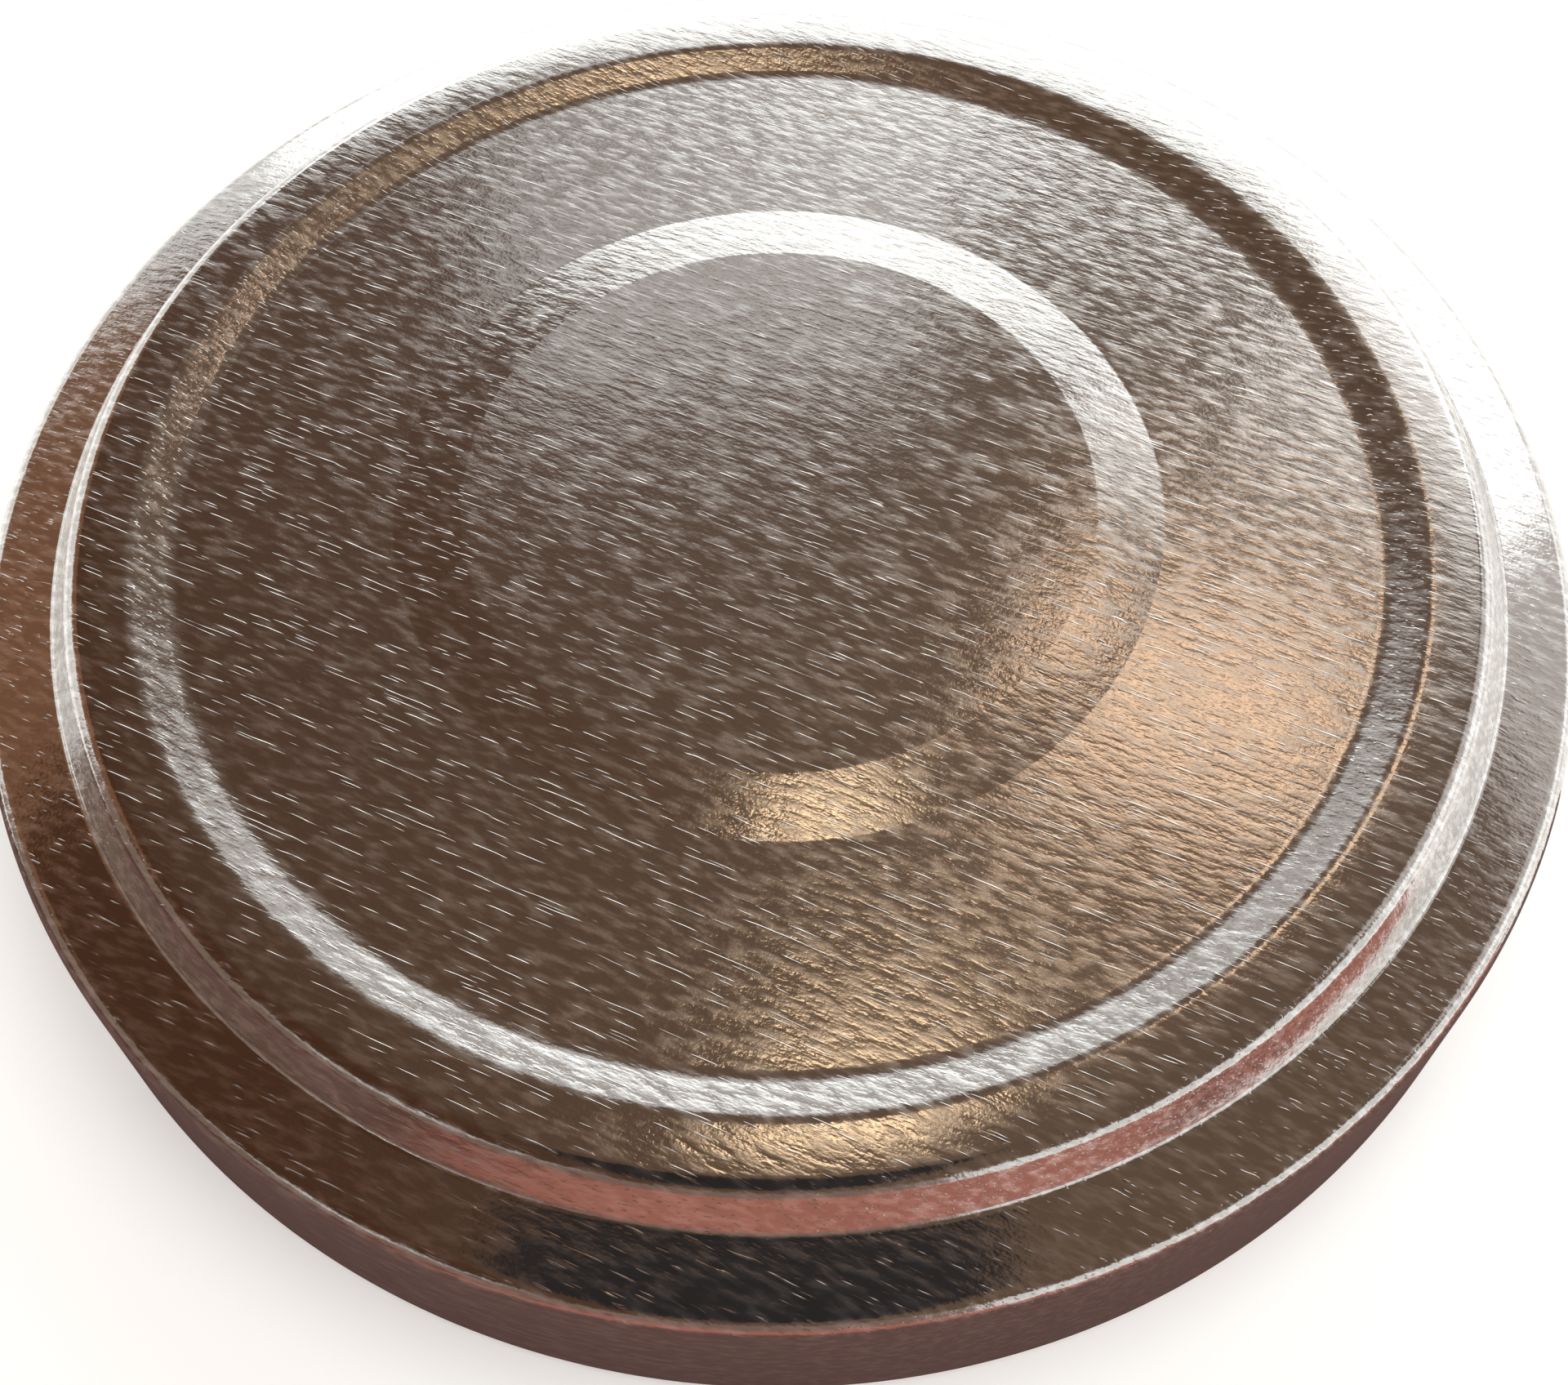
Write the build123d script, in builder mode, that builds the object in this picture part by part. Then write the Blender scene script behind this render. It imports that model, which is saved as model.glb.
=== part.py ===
# Twist-off lid for a glass jar: one pressed tinplate shell and the sealing ring flowed into it.
# The lid stands on its open edge, with +Z up and the origin on its axis at the height of that edge.
from build123d import *
import os
from math import atan2, cos, degrees, hypot, radians, sin

os.makedirs("parts", exist_ok=True)

# Driving dimensions, in millimetres
sheet = 0.2                  # tinplate thickness
outer_diameter = 69.0        # over the curled edge
total_height = 11.0          # from the resting plane to the top of the rim
skirt_top_diameter = 68.0    # where the skirt would meet the ledge if the shoulder were sharp

button_diameter = 27.0       # raised centre disc
button_rise = 0.22           # how far the disc stands above the panel
button_slope_width = 2.85    # slope from the disc down to the panel
panel_diameter = 51.1        # flat recessed panel, to the foot of its outer slope
panel_depth = 0.5            # panel below the top of the rim
rim_inner_diameter = 54.4    # inner edge of the flat rim
rim_outer_diameter = 59.3    # where the rim would meet the riser if that corner were sharp
riser_foot_diameter = 61.6   # where the riser meets the ledge
step_depth = 1.85            # ledge at the foot of the riser, below the top of the rim
ledge_fall = 0.5             # how much the ledge drops from the riser to the shoulder

button_fillet = 1.2
panel_fillet = 2.0
rim_inner_fillet = 1.5
rim_outer_fillet = 0.9
riser_foot_fillet = 0.4
shoulder_fillet = 0.85

curl_radius = 0.95           # outside radius of the curled edge
curl_end_angle = 75.0        # where the sheet's cut edge lies, measured about the curl's centre

lug_count = 4
lug_start = 45.0             # degrees from +X to the middle of the first lug
lug_arc = 24.0               # degrees that each lug takes up
lug_tip_diameter = 62.6      # the circle that the lug tips touch
lug_flat = 0.4               # level stretch at the foot of a lug, before it climbs
lug_rise = 0.35              # how far the lug's lower leaf climbs towards its tip
lug_height = 0.9             # from the lower leaf to the upper one, over both
lug_foot_fillet = 1.0
lug_fold_fillet = 0.4        # rounding of the fold at the tip

seal_inner_diameter = 60.8   # sealing ring, under the foot of the riser and the ledge
seal_outer_diameter = 67.0
seal_thickness = 0.8         # below the underside of the ledge, where the ledge is highest
seal_edge_fillet = 0.3

# Places along the section, measured from the resting plane
rim_level = total_height
panel_level = rim_level - panel_depth
button_level = panel_level + button_rise
ledge_level = rim_level - step_depth
shoulder_level = ledge_level - ledge_fall
curl_centre_r = outer_diameter / 2 - curl_radius
curl_centre_z = curl_radius
shoulder_r = skirt_top_diameter / 2

# The skirt runs straight from the shoulder and meets the curl as a tangent
reach = hypot(shoulder_r - curl_centre_r, shoulder_level - curl_centre_z)
bearing = atan2(shoulder_level - curl_centre_z, shoulder_r - curl_centre_r)
swing = radians(90) - atan2(curl_radius, (reach**2 - curl_radius**2) ** 0.5)
tangent_angle = degrees(bearing - swing)


def curl_point(angle):
    return (
        curl_centre_r + curl_radius * cos(radians(angle)),
        curl_centre_z + curl_radius * sin(radians(angle)),
    )


def pressed_line():
    # The outer face of the lid from the axis to the start of the curl
    return FilletPolyline(
        (0, button_level),
        (button_diameter / 2, button_level),
        (button_diameter / 2 + button_slope_width, panel_level),
        (panel_diameter / 2, panel_level),
        (rim_inner_diameter / 2, rim_level),
        (rim_outer_diameter / 2, rim_level),
        (riser_foot_diameter / 2, ledge_level),
        (shoulder_r, shoulder_level),
        curl_point(tangent_angle),
        radius=[
            button_fillet,
            button_fillet,
            panel_fillet,
            rim_inner_fillet,
            rim_outer_fillet,
            riser_foot_fillet,
            shoulder_fillet,
        ],
    )


def curl_arc(start_angle, end_angle):
    # Clockwise, so the sheet turns in under the edge and up again
    return CenterArc((curl_centre_r, curl_centre_z), curl_radius, start_angle, end_angle - start_angle)


gap_arc = 360 / lug_count - lug_arc
lug_places = [lug_start + count * 360 / lug_count for count in range(lug_count)]

with BuildPart() as lid_shell:
    # Button, panel, rim, ledge and skirt, down to the lowest line of the edge
    with BuildSketch(Plane.XZ):
        with BuildLine():
            pressed_line()
            curl_arc(tangent_angle, -90)
            offset(amount=sheet, side=Side.RIGHT)
        make_face()
    revolve(axis=Axis.Z)

    # Between the lugs the sheet goes on round into a hollow bead
    for place in lug_places:
        with BuildSketch(Plane.XZ.rotated((0, 0, place + lug_arc / 2))):
            with BuildLine():
                curl_arc(-90, curl_end_angle - 360)
                offset(amount=sheet, side=Side.RIGHT)
            make_face()
        revolve(axis=Axis.Z, revolution_arc=gap_arc)

    # At a lug it is pressed flat, runs inwards and folds back on itself
    for place in lug_places:
        with BuildSketch(Plane.XZ.rotated((0, 0, place - lug_arc / 2))):
            with BuildLine():
                FilletPolyline(
                    (curl_centre_r, 0),
                    (curl_centre_r - lug_flat, 0),
                    (lug_tip_diameter / 2, lug_rise),
                    (lug_tip_diameter / 2, lug_rise + lug_height),
                    (curl_centre_r, lug_rise + lug_height),
                    radius=[lug_foot_fillet, lug_fold_fillet, lug_fold_fillet],
                )
                offset(amount=sheet, side=Side.RIGHT)
            make_face()
        revolve(axis=Axis.Z, revolution_arc=lug_arc)

lid_shell.part.label = "lid_shell"
export_step(lid_shell.part, "parts/lid_shell.step")

with BuildPart() as sealing_gasket:
    # The space under the sheet, kept only where the compound was poured
    with BuildSketch(Plane.XZ) as seal_section:
        with BuildLine():
            underside = offset(pressed_line(), amount=sheet, side=Side.RIGHT, closed=False)
            Polyline(underside @ 1, (0, 0), underside @ 0)
        make_face()
        seal_bottom = ledge_level - sheet - seal_thickness
        with Locations(((seal_inner_diameter + seal_outer_diameter) / 4, seal_bottom)):
            Rectangle(
                (seal_outer_diameter - seal_inner_diameter) / 2,
                rim_level - seal_bottom,
                align=(Align.CENTER, Align.MIN),
                mode=Mode.INTERSECT,
            )
        fillet(seal_section.vertices().group_by(Axis.Y)[0], seal_edge_fillet)
    revolve(axis=Axis.Z)

sealing_gasket.part.label = "sealing_gasket"
export_step(sealing_gasket.part, "parts/sealing_gasket.step")
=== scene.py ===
import bpy
import math
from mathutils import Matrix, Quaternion, Vector


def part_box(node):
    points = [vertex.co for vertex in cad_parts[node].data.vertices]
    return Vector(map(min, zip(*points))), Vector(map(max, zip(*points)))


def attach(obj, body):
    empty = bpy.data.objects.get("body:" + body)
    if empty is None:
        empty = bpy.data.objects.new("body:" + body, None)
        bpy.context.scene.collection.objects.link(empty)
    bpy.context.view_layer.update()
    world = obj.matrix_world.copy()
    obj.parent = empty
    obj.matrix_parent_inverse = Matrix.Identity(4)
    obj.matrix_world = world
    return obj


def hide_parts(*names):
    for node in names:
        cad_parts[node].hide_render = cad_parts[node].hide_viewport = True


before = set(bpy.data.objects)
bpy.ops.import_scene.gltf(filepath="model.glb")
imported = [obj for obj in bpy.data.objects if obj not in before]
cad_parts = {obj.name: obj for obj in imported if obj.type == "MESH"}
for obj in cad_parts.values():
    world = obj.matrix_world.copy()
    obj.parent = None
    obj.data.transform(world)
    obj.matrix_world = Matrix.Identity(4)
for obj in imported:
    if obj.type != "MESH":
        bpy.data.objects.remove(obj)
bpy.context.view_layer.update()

mm = 0.001
slack = 0.01 * mm        # how far off its place a vertex may be and still be picked
weld = 0.001 * mm        # vertices nearer than this are merged


def pickVertices(obj, wanted):
    # selects the vertices that pass the test, and leaves the object in edit mode
    bpy.ops.object.mode_set(mode="EDIT")
    bpy.ops.mesh.select_mode(type="VERT")
    bpy.ops.mesh.select_all(action="DESELECT")
    bpy.ops.object.mode_set(mode="OBJECT")
    for vertex in obj.data.vertices:
        vertex.select = wanted(vertex.co)
    bpy.ops.object.mode_set(mode="EDIT")


def pickRing(obj, radius, height):
    pickVertices(obj, lambda co: abs(math.hypot(co.x, co.y) - radius) < slack
                 and abs(co.z - height) < slack)
    bpy.ops.mesh.select_mode(type="EDGE")


def turnRings(name, stations, around):
    # one ring of vertices, drawn out station by station into a turned skin
    radius, height = stations[0]
    bpy.ops.object.select_all(action="DESELECT")
    bpy.ops.mesh.primitive_circle_add(vertices=around, radius=radius, location=(0, 0, height))
    obj = bpy.context.object
    obj.name = name
    bpy.ops.object.transform_apply(location=True, rotation=True, scale=True)
    bpy.ops.object.mode_set(mode="EDIT")
    bpy.ops.mesh.select_all(action="SELECT")
    for nextRadius, nextHeight in stations[1:]:
        bpy.ops.mesh.extrude_region_move()
        share = nextRadius / radius
        bpy.ops.transform.resize(value=(share, share, 1), center_override=(0, 0, height))
        bpy.ops.transform.translate(value=(0, 0, nextHeight - height))
        radius, height = nextRadius, nextHeight
    return obj


def roundRing(obj, before, corner, after, radius, segments):
    # a bevel whose width makes an arc of the given radius between the two runs
    first = Vector(before) - Vector(corner)
    second = Vector(after) - Vector(corner)
    turn = math.pi - first.angle(second)
    pickRing(obj, corner[0], corner[1])
    bpy.ops.mesh.bevel(offset_type="OFFSET", offset=radius * math.tan(turn / 2), segments=segments,
                       profile=0.5, affect="EDGES", clamp_overlap=True)


shell = {
    "around": 288,
    "sheet": 0.2 * mm,
    "buttonRadius": 13.5 * mm,
    "buttonSlope": 2.85 * mm,
    "buttonRise": 0.22 * mm,
    "panelRadius": 25.55 * mm,
    "panelDepth": 0.5 * mm,
    "rimInner": 27.2 * mm,
    "rimOuter": 29.65 * mm,
    "riserFoot": 30.8 * mm,
    "stepDepth": 1.85 * mm,
    "ledgeFall": 0.5 * mm,
    "shoulder": 34.0 * mm,
    "curl": 0.95 * mm,
    "curlEnd": 75,
    "curlStep": 15,
    "fillets": [1.2 * mm, 1.2 * mm, 2.0 * mm, 1.5 * mm, 0.9 * mm, 0.4 * mm, 0.85 * mm],
    "filletSegments": 8,
    "lugs": 4,
    "lugStart": 45,
    "lugHalfArc": 9,
    "lugReach": 1.25 * mm,
    "lugFlatten": 0.5,
    "lugFalloff": 1.1 * mm,
    "lugInnerShare": 0.3,     # the pressed part starts this share of the curl's radius inside its centre
    "lugMiddleShare": 0.8,    # height of the flattened middle, as a share of the curl's radius
    "poleRadius": 0.02 * mm,  # last ring, which is merged into the centre
    "smoothAngle": 50,
}


def shellSection(s, top, outer):
    # corners of the section from the skirt's foot to the centre, and the curl's own ring places
    curlRadius = outer - s["curl"]
    corners = [
        (s["poleRadius"], top - s["panelDepth"] + s["buttonRise"]),
        (s["buttonRadius"], top - s["panelDepth"] + s["buttonRise"]),
        (s["buttonRadius"] + s["buttonSlope"], top - s["panelDepth"]),
        (s["panelRadius"], top - s["panelDepth"]),
        (s["rimInner"], top),
        (s["rimOuter"], top),
        (s["riserFoot"], top - s["stepDepth"]),
        (s["shoulder"], top - s["stepDepth"] - s["ledgeFall"]),
    ]
    reach = Vector((corners[-1][0] - curlRadius, corners[-1][1] - s["curl"]))
    tangent = math.degrees(math.atan2(reach.y, reach.x) - math.acos(s["curl"] / reach.length))
    curl = []
    angle = s["curlEnd"] - 360
    while angle < tangent - 1:
        curl.append((curlRadius + s["curl"] * math.cos(math.radians(angle)),
                     s["curl"] + s["curl"] * math.sin(math.radians(angle))))
        angle += s["curlStep"]
    curl.append((curlRadius + s["curl"] * math.cos(math.radians(tangent)),
                 s["curl"] + s["curl"] * math.sin(math.radians(tangent))))
    return corners, curl


def makeShell(s):
    low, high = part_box("lid_shell")
    corners, curl = shellSection(s, high[2], high[0])
    obj = turnRings("LidShell", curl + corners[::-1], s["around"])
    bpy.ops.mesh.merge(type="CENTER")
    ends = [curl[-1]] + corners[::-1]
    for place, radius in enumerate(s["fillets"][::-1], start=1):
        roundRing(obj, ends[place - 1], ends[place], ends[place + 1], radius, s["filletSegments"])
    pressLugs(obj, s, high[0] - s["curl"])
    bpy.ops.mesh.select_all(action="SELECT")
    bpy.ops.mesh.remove_doubles(threshold=weld)
    bpy.ops.mesh.normals_make_consistent(inside=False)
    bpy.ops.object.mode_set(mode="OBJECT")
    middleFace = min(obj.data.polygons, key=lambda face: face.center.xy.length)
    if middleFace.normal.z < 0:
        obj.data.flip_normals()
    thicken = obj.modifiers.new("thickness", "SOLIDIFY")
    thicken.thickness = s["sheet"]
    thicken.offset = -1
    bpy.ops.object.modifier_apply(modifier=thicken.name)
    bpy.ops.object.shade_smooth_by_angle(angle=math.radians(s["smoothAngle"]))
    print("shell", len(obj.data.polygons), "faces")
    return obj


def pressLugs(obj, s, curlRadius):
    # the inner half of the curl is pushed inwards and flattened at each lug
    for count in range(s["lugs"]):
        middle = math.radians(s["lugStart"] + count * 360 / s["lugs"])
        towards = Vector((math.cos(middle), math.sin(middle)))
        nearest = math.cos(math.radians(s["lugHalfArc"]))
        pickVertices(obj, lambda co: co.z < 2 * s["curl"] + slack
                     and co.xy.length < curlRadius - s["lugInnerShare"] * s["curl"]
                     and co.xy.normalized().dot(towards) > nearest)
        bpy.ops.transform.translate(value=(-s["lugReach"] * towards.x, -s["lugReach"] * towards.y, 0),
                                    use_proportional_edit=True, use_proportional_connected=True,
                                    proportional_edit_falloff="SMOOTH", proportional_size=s["lugFalloff"])
        bpy.ops.transform.resize(value=(1, 1, s["lugFlatten"]),
                                 center_override=(0, 0, s["lugMiddleShare"] * s["curl"]),
                                 use_proportional_edit=True, use_proportional_connected=True,
                                 proportional_edit_falloff="SMOOTH", proportional_size=s["lugFalloff"])


seal = {
    "around": 192,
    "inner": 30.4 * mm,
    "outer": 33.5 * mm,
    "edge": 0.3 * mm,
    "segments": 4,
    "clearance": 0.05 * mm,   # between the ring and the sheet above it
    "innerDrop": 0.25 * mm,   # the inner edge stops this far below the ring's top
    "smoothAngle": 40,
}


def makeSeal(s, sh):
    low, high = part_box("sealing_gasket")
    top = high[2]
    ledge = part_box("lid_shell")[1][2] - sh["stepDepth"] - sh["sheet"]
    outerTop = ledge - sh["ledgeFall"] * (s["outer"] - sh["riserFoot"]) / (sh["shoulder"] - sh["riserFoot"])
    stations = [
        (s["inner"], low[2]),
        (s["outer"], low[2]),
        (s["outer"], outerTop - s["clearance"]),
        (sh["riserFoot"], ledge - s["clearance"]),
        (s["inner"], top - s["innerDrop"]),
    ]
    obj = turnRings("SealingRing", stations, s["around"])
    pickVertices(obj, lambda co: abs(co.xy.length - s["inner"]) < slack)
    bpy.ops.mesh.select_mode(type="EDGE")
    bpy.ops.mesh.bridge_edge_loops()
    roundRing(obj, stations[4], stations[0], stations[1], s["edge"], s["segments"])
    roundRing(obj, stations[0], stations[1], stations[2], s["edge"], s["segments"])
    bpy.ops.mesh.select_all(action="SELECT")
    bpy.ops.mesh.remove_doubles(threshold=weld)
    bpy.ops.mesh.normals_make_consistent(inside=False)
    bpy.ops.object.mode_set(mode="OBJECT")
    bpy.ops.object.shade_smooth_by_angle(angle=math.radians(s["smoothAngle"]))
    print("sealing ring", len(obj.data.polygons), "faces")
    return obj


tin = {
    "light": (0.92, 0.91, 0.89, 1),
    "dark": (0.68, 0.65, 0.62, 1),
    "smooth": 0.12,           # roughness between the streaks
    "dull": 0.22,             # roughness in the middle of a streak
    "streakStart": 0.44,      # how strong the noise is where a streak begins
    "streakFull": 0.66,       # and where it is full
    "anisotropy": 0.5,
    "grainAngle": -24.5,      # direction of rolling, degrees from +X
    "streak": (1.1 * mm, 0.32 * mm),      # length and width of a fleck
    "streakHeight": 0.015 * mm,
    "speck": (0.16 * mm, 0.11 * mm),
    "speckHeight": 0.004 * mm,
    "scratch": (1.6 * mm, 0.09 * mm),
    "scratchHeight": 0.008 * mm,
    "scratchStart": 0.72,     # high, so that scratches are few
    "scratchFull": 0.80,
    "speckShift": 17,         # moves each noise, so that no two line up
    "scratchShift": 41,
}


def newMaterial(name):
    material = bpy.data.materials.new(name)
    material.use_nodes = True
    nodes = material.node_tree.nodes
    return material, nodes, material.node_tree.links, nodes["Principled BSDF"]


def grainNoise(nodes, links, source, size, detail, shift):
    # noise drawn out along the X of its source: size is the length and width of one fleck
    stretch = nodes.new("ShaderNodeMapping")
    stretch.inputs["Location"].default_value = (shift, shift, 0)
    stretch.inputs["Scale"].default_value = (1 / size[0], 1 / size[1], 1 / size[1])
    links.new(source, stretch.inputs["Vector"])
    noise = nodes.new("ShaderNodeTexNoise")
    noise.inputs["Scale"].default_value = 1
    noise.inputs["Detail"].default_value = detail
    noise.inputs["Roughness"].default_value = 0.5
    links.new(stretch.outputs["Vector"], noise.inputs["Vector"])
    return noise.outputs["Fac"]


def mapped(nodes, links, source, low, high, toLow, toHigh):
    span = nodes.new("ShaderNodeMapRange")
    span.inputs["From Min"].default_value = low
    span.inputs["From Max"].default_value = high
    span.inputs["To Min"].default_value = toLow
    span.inputs["To Max"].default_value = toHigh
    links.new(source, span.inputs["Value"])
    return span.outputs["Result"]


def added(nodes, links, first, second):
    total = nodes.new("ShaderNodeMath")
    total.operation = "ADD"
    links.new(first, total.inputs[0])
    links.new(second, total.inputs[1])
    return total.outputs["Value"]


def tinted(nodes, links, factor, first, second):
    blend = nodes.new("ShaderNodeMix")
    blend.data_type = "RGBA"
    blend.inputs["A"].default_value = first
    blend.inputs["B"].default_value = second
    links.new(factor, blend.inputs["Factor"])
    return blend.outputs["Result"]


def makeTin(t):
    material, nodes, links, shader = newMaterial("rolledTinplate")
    shader.inputs["Metallic"].default_value = 1
    shader.inputs["Anisotropic"].default_value = t["anisotropy"]
    place = nodes.new("ShaderNodeTexCoord")
    turn = nodes.new("ShaderNodeMapping")
    angle = math.radians(t["grainAngle"])
    turn.inputs["Rotation"].default_value = (0, 0, -angle)
    links.new(place.outputs["Object"], turn.inputs["Vector"])
    grain = turn.outputs["Vector"]
    streak = grainNoise(nodes, links, grain, t["streak"], 2, 0)
    speck = grainNoise(nodes, links, grain, t["speck"], 1, t["speckShift"])
    scratch = grainNoise(nodes, links, grain, t["scratch"], 0, t["scratchShift"])
    dullness = mapped(nodes, links, streak, t["streakStart"], t["streakFull"], 0, 1)
    links.new(mapped(nodes, links, dullness, 0, 1, t["smooth"], t["dull"]), shader.inputs["Roughness"])
    links.new(tinted(nodes, links, dullness, t["dark"], t["light"]), shader.inputs["Base Color"])
    streakRelief = mapped(nodes, links, streak, 0, 1, 0, t["streakHeight"] / mm)
    speckRelief = mapped(nodes, links, speck, 0, 1, 0, t["speckHeight"] / mm)
    scratchRelief = mapped(nodes, links, scratch, t["scratchStart"], t["scratchFull"],
                           0, t["scratchHeight"] / mm)
    relief = added(nodes, links, streakRelief, speckRelief)
    relief = added(nodes, links, relief, scratchRelief)
    bump = nodes.new("ShaderNodeBump")
    bump.inputs["Strength"].default_value = 1
    bump.inputs["Distance"].default_value = mm      # the relief above is in millimetres
    links.new(relief, bump.inputs["Height"])
    links.new(bump.outputs["Normal"], shader.inputs["Normal"])
    across = nodes.new("ShaderNodeCombineXYZ")      # reflections smear across the rolling direction
    across.inputs["X"].default_value = -math.sin(angle)
    across.inputs["Y"].default_value = math.cos(angle)
    links.new(across.outputs["Vector"], shader.inputs["Tangent"])
    return material


compound = {
    "colour": (0.82, 0.80, 0.74, 1),
    "stain": (0.74, 0.71, 0.63, 1),
    "smooth": 0.36,
    "dull": 0.55,
    "cloud": 3.0 * mm,
    "pit": 0.35 * mm,
    "pitHeight": 0.02 * mm,
    "cloudShift": 5,
    "pitShift": 9,
}


def makeCompound(c):
    material, nodes, links, shader = newMaterial("sealingCompound")
    place = nodes.new("ShaderNodeTexCoord").outputs["Object"]
    cloud = grainNoise(nodes, links, place, (c["cloud"], c["cloud"]), 2, c["cloudShift"])
    pit = grainNoise(nodes, links, place, (c["pit"], c["pit"]), 2, c["pitShift"])
    links.new(tinted(nodes, links, cloud, c["colour"], c["stain"]), shader.inputs["Base Color"])
    links.new(mapped(nodes, links, pit, 0.3, 0.7, c["smooth"], c["dull"]), shader.inputs["Roughness"])
    bump = nodes.new("ShaderNodeBump")
    bump.inputs["Strength"].default_value = 1
    bump.inputs["Distance"].default_value = c["pitHeight"]
    links.new(pit, bump.inputs["Height"])
    links.new(bump.outputs["Normal"], shader.inputs["Normal"])
    return material


view = {
    "place": (0, -45.404 * mm, 72.731 * mm),
    "aim": (0.16 * mm, -10.07 * mm, 11 * mm),
    "focalPixels": 2200,
    "imageWidth": 1920,
    "sensor": 36,
}


def makeCamera(v):
    data = bpy.data.cameras.new("camera")
    data.sensor_width = v["sensor"]
    data.sensor_fit = "HORIZONTAL"
    data.lens = v["sensor"] * v["focalPixels"] / v["imageWidth"]
    data.clip_start = 1 * mm
    camera = bpy.data.objects.new("camera", data)
    bpy.context.scene.collection.objects.link(camera)
    camera.location = v["place"]
    camera.rotation_euler = (Vector(v["aim"]) - Vector(v["place"])).to_track_quat("-Z", "Y").to_euler()
    bpy.context.scene.camera = camera


studio = {
    "overhead": (0.15, 0.10, 0.07, 1),
    "leftSide": (0.08, 0.036, 0.019, 1),
    "floorSize": 16,
    "floorColour": (0.95, 0.95, 0.94, 1),
    "backdropRadius": 3.0,
    "backdropHeight": 1.4,
    "backdropLight": 0.9,
    "sunStrength": 2.6,
    "sunAngle": 70,           # degrees across, so that shadows stay soft
    "sunLean": (12, 8),
    "black": (0, 0, 0, 1),
    "floorRoughness": 0.9,
    "leftStart": 0.1,         # X of the direction where the left side's colour begins
    "leftFull": -0.5,
}

boardFinish = {
    "roughness": 0.8,
    "thinnest": 0.2 * mm,
}

# bearing is measured from the far side (+Y) towards +X, and all angles are in degrees
cards = {
    "farWindow": {
        "bearing": 12, "elevation": 23, "turn": -5, "distance": 1.0,
        "width": 1.4, "height": 0.70, "colour": (0.92, 0.98, 1.0), "strength": 1.6,
    },
    "paleCeiling": {
        "bearing": -3, "elevation": 47, "turn": 0, "distance": 1.0,
        "width": 0.26, "height": 0.10, "colour": (0.92, 0.97, 1.0), "strength": 0.55,
    },
    "paleWall": {
        "bearing": 33, "elevation": 44.5, "turn": 0, "distance": 1.0,
        "width": 0.24, "height": 0.18, "colour": (0.95, 0.97, 0.97), "strength": 0.8,
    },
    "rightWindow": {
        "bearing": 76, "elevation": 26, "turn": 0, "distance": 1.0,
        "width": 0.8, "height": 0.66, "colour": (0.97, 0.98, 1.0), "strength": 0.45,
    },
    "leftGlow": {
        "bearing": -62, "elevation": 30, "turn": 0, "distance": 1.0,
        "width": 0.8, "height": 0.5, "colour": (1.0, 0.52, 0.30), "strength": 0.14,
    },
    "warmLamp": {
        "bearing": 26, "elevation": 58.5, "turn": 8, "distance": 1.0,
        "width": 0.17, "height": 0.085, "colour": (1.0, 0.71, 0.49), "strength": 1.7,
    },
    "smallLamp": {
        "bearing": 9, "elevation": 75, "turn": 0, "distance": 1.0,
        "width": 0.12, "height": 0.055, "colour": (1.0, 0.74, 0.48), "strength": 3.2,
    },
}

# boards that only the metal's reflections see, painted reflections of a room that is not there: lowest
# corner, highest corner and colour
boards = {
    # painted reflection: brown room on the left, seen only in the metal
    "leftWallPaintedReflection": {
        "low": (-420 * mm, -420 * mm, 0),
        "high": (-420 * mm, 60 * mm, 205 * mm),
        "colour": (0.20, 0.14, 0.11, 1),
    },
    # painted reflection: brown room in front, seen only in the metal
    "frontWallPaintedReflection": {
        "low": (-420 * mm, -420 * mm, 0),
        "high": (150 * mm, -420 * mm, 205 * mm),
        "colour": (0.22, 0.14, 0.115, 1),
    },
    # painted reflection: mauve-brown that the skirt's front mirrors where the pale floor would be
    "nearFloorPaintedReflection": {
        "low": (-54 * mm, -54 * mm, 0.8 * mm),
        "high": (46 * mm, -10 * mm, 0.8 * mm),
        "colour": (0.13, 0.075, 0.066, 1),
    },
    # painted dark reflection: a dark sheet over the camera that only the metal's reflections see
    "overCameraPaintedDarkReflection": {
        "low": (-30 * mm, -110 * mm, 76 * mm),
        "high": (22 * mm, -37 * mm, 76 * mm),
        "colour": (0.012, 0.014, 0.018, 1),
    },
    # painted reflection: dark red-brown floor on the left, seen only in the metal
    "leftFloorPaintedReflection": {
        "low": (-400 * mm, -200 * mm, 0.6 * mm),
        "high": (-42 * mm, -5 * mm, 0.6 * mm),
        "colour": (0.09, 0.035, 0.022, 1),
    },
    # painted reflection: salmon that the riser and shoulder at the front mirror
    "warmFloorPaintedReflection": {
        "low": (-400 * mm, -400 * mm, 0.4 * mm),
        "high": (85 * mm, -22 * mm, 0.4 * mm),
        "colour": (0.36, 0.13, 0.095, 1),
    },
}


def makeCard(name, c):
    bearing, elevation = math.radians(c["bearing"]), math.radians(c["elevation"])
    towards = Vector((math.sin(bearing) * math.cos(elevation), math.cos(bearing) * math.cos(elevation),
                      math.sin(elevation)))
    data = bpy.data.lights.new(name, "AREA")
    data.shape = "RECTANGLE"
    data.size = c["width"]
    data.size_y = c["height"]
    data.color = c["colour"]
    # an area light of this power shows its strength as radiance
    data.energy = c["strength"] * c["width"] * c["height"] * math.pi
    lamp = bpy.data.objects.new(name, data)
    bpy.context.scene.collection.objects.link(lamp)
    lamp.location = towards * c["distance"]
    facing = towards.to_track_quat("Z", "Y")
    lamp.rotation_euler = (facing @ Quaternion((0, 0, 1), math.radians(c["turn"]))).to_euler()
    lamp.visible_camera = False


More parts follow.
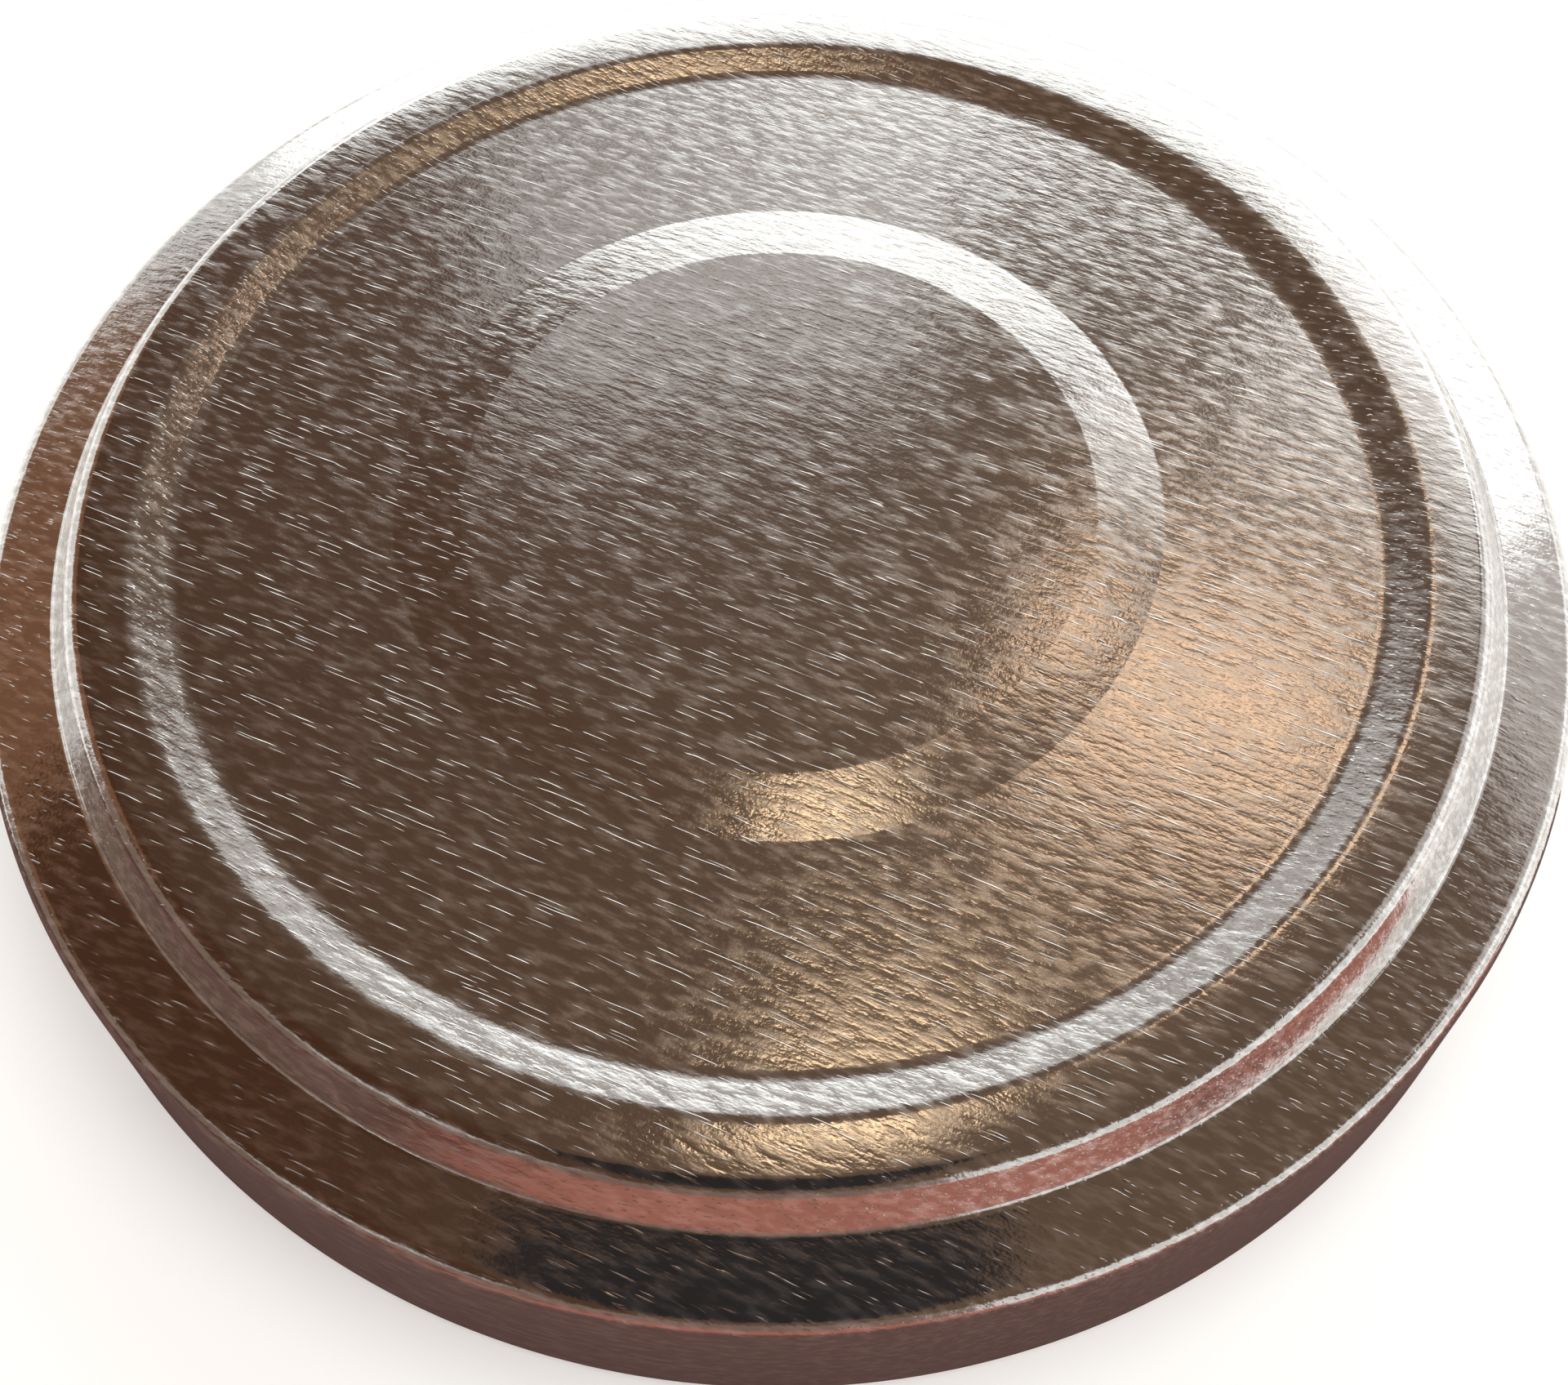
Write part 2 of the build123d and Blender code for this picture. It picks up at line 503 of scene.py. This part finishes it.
def makeBoard(name, b):
    low, high = Vector(b["low"]), Vector(b["high"])
    bpy.ops.object.select_all(action="DESELECT")
    bpy.ops.mesh.primitive_cube_add(size=1, location=(low + high) / 2)
    board = bpy.context.object
    board.name = name
    board.scale = [max(side, boardFinish["thinnest"]) for side in high - low]
    bpy.ops.object.transform_apply(location=True, rotation=True, scale=True)
    material, nodes, links, shader = newMaterial(name)
    shader.inputs["Base Color"].default_value = b["colour"]
    shader.inputs["Roughness"].default_value = boardFinish["roughness"]
    board.data.materials.append(material)
    # painted reflection: the board is hidden from the camera, from diffuse light and from shadows, so it
    # only colours the metal's reflections
    board.visible_camera = False
    board.visible_diffuse = False
    board.visible_shadow = False


def makeWorld(s):
    world = bpy.data.worlds.new("room")
    world.use_nodes = True
    bpy.context.scene.world = world
    nodes, links = world.node_tree.nodes, world.node_tree.links
    direction = nodes.new("ShaderNodeSeparateXYZ")
    links.new(nodes.new("ShaderNodeTexCoord").outputs["Generated"], direction.inputs["Vector"])
    leftness = mapped(nodes, links, direction.outputs["X"], s["leftStart"], s["leftFull"], 0, 1)
    room = tinted(nodes, links, leftness, s["overhead"], s["leftSide"])
    links.new(room, nodes["Background"].inputs["Color"])


def makeFloor(s):
    bpy.ops.object.select_all(action="DESELECT")
    bpy.ops.mesh.primitive_plane_add(size=s["floorSize"], location=(0, 0, 0))
    floor = bpy.context.object
    floor.name = "floor"
    material, nodes, links, shader = newMaterial("paleFloor")
    shader.inputs["Base Color"].default_value = s["floorColour"]
    shader.inputs["Roughness"].default_value = s["floorRoughness"]
    shader.inputs["Specular IOR Level"].default_value = 0
    floor.data.materials.append(material)


def makeBackdrop(s):
    bpy.ops.object.select_all(action="DESELECT")
    bpy.ops.mesh.primitive_cylinder_add(vertices=96, radius=s["backdropRadius"], depth=s["backdropHeight"],
                                        end_fill_type="NOTHING", location=(0, 0, s["backdropHeight"] / 2))
    backdrop = bpy.context.object
    backdrop.name = "backdrop"
    material, nodes, links, shader = newMaterial("paleBackdrop")
    shader.inputs["Base Color"].default_value = s["black"]
    shader.inputs["Specular IOR Level"].default_value = 0
    shader.inputs["Emission Color"].default_value = s["floorColour"]
    shader.inputs["Emission Strength"].default_value = s["backdropLight"]
    backdrop.data.materials.append(material)


def makeStudio(s):
    makeWorld(s)
    makeFloor(s)
    makeBackdrop(s)
    data = bpy.data.lights.new("overheadLight", "SUN")
    data.energy = s["sunStrength"]
    data.angle = math.radians(s["sunAngle"])
    overhead = bpy.data.objects.new("overheadLight", data)
    bpy.context.scene.collection.objects.link(overhead)
    overhead.rotation_euler = (math.radians(s["sunLean"][0]), math.radians(s["sunLean"][1]), 0)
    overhead.visible_glossy = False      # it lights the floor, and the metal shows the cards instead
    for name, values in cards.items():
        makeCard(name, values)
    for name, values in boards.items():
        makeBoard(name, values)
    bpy.context.scene.view_settings.view_transform = "Standard"


def finishPiece(obj, material, node):
    obj.data.materials.clear()
    obj.data.materials.append(material)
    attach(obj, "root")
    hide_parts(node)


makeCamera(view)
makeStudio(studio)
print("camera and studio ready")
lidShell = makeShell(shell)
sealingRing = makeSeal(seal, shell)
finishPiece(lidShell, makeTin(tin), "lid_shell")
finishPiece(sealingRing, makeCompound(compound), "sealing_gasket")
print("materials ready")
